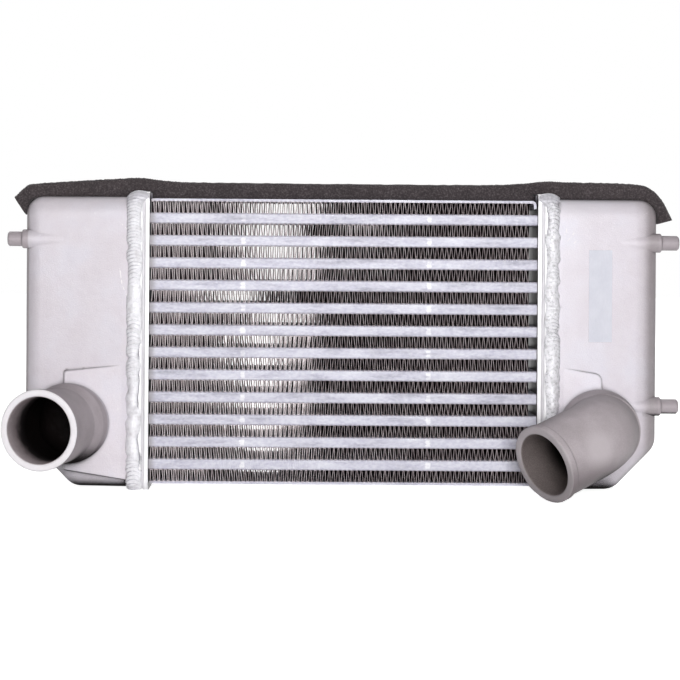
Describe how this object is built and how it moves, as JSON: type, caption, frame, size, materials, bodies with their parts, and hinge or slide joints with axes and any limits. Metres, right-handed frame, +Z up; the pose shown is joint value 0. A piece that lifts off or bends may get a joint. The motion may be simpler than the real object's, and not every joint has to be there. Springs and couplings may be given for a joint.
{
  "type": "intercooler",
  "caption": "Air-to-air charge cooler: a flat finned core between cast end tanks, with a straight hose pipe, an elbow pipe, side pegs and a foam strip on top.",
  "frame": {"origin": "middle of the bounding box, at its base, on the plane of the header feet", "axes": "+X across the core towards the elbow tank, -Y out of the front face where both pipes point, +Z up"},
  "size_m": [0.54, 0.1574, 0.2503],
  "materials": {
    "cast_aluminium": "as cast, sand-blasted",
    "header_aluminium": "mill finish",
    "weld_aluminium": "bright ripple",
    "tube_aluminium": "brazed, slightly stained",
    "fin_aluminium": "thin brazed foil",
    "foam": "open-cell foam, matt",
    "label_paper": "blank satin paper"
  },
  "bodies": {
    "root": {"air_fin_01": "fin_aluminium", "air_fin_02": "fin_aluminium", "air_fin_03": "fin_aluminium", "air_fin_04": "fin_aluminium", "air_fin_05": "fin_aluminium", "air_fin_06": "fin_aluminium", "air_fin_07": "fin_aluminium", "air_fin_08": "fin_aluminium", "air_fin_09": "fin_aluminium", "air_fin_10": "fin_aluminium", "air_fin_11": "fin_aluminium", "air_fin_12": "fin_aluminium", "air_fin_13": "fin_aluminium", "bottom_side_plate": "tube_aluminium", "charge_tube_01": "tube_aluminium", "charge_tube_02": "tube_aluminium", "charge_tube_03": "tube_aluminium", "charge_tube_04": "tube_aluminium", "charge_tube_05": "tube_aluminium", "charge_tube_06": "tube_aluminium", "charge_tube_07": "tube_aluminium", "charge_tube_08": "tube_aluminium", "charge_tube_09": "tube_aluminium", "charge_tube_10": "tube_aluminium", "charge_tube_11": "tube_aluminium", "charge_tube_12": "tube_aluminium", "label": "label_paper", "left_header": "header_aluminium", "left_tank": "cast_aluminium", "left_weld_bead": "weld_aluminium", "right_header": "header_aluminium", "right_tank": "cast_aluminium", "right_weld_bead": "weld_aluminium", "top_foam_seal": "foam", "top_side_plate": "tube_aluminium", "turbulator_01": "fin_aluminium", "turbulator_02": "fin_aluminium", "turbulator_03": "fin_aluminium", "turbulator_04": "fin_aluminium", "turbulator_05": "fin_aluminium", "turbulator_06": "fin_aluminium", "turbulator_07": "fin_aluminium", "turbulator_08": "fin_aluminium", "turbulator_09": "fin_aluminium", "turbulator_10": "fin_aluminium", "turbulator_11": "fin_aluminium", "turbulator_12": "fin_aluminium"}
  },
  "joints": []
}
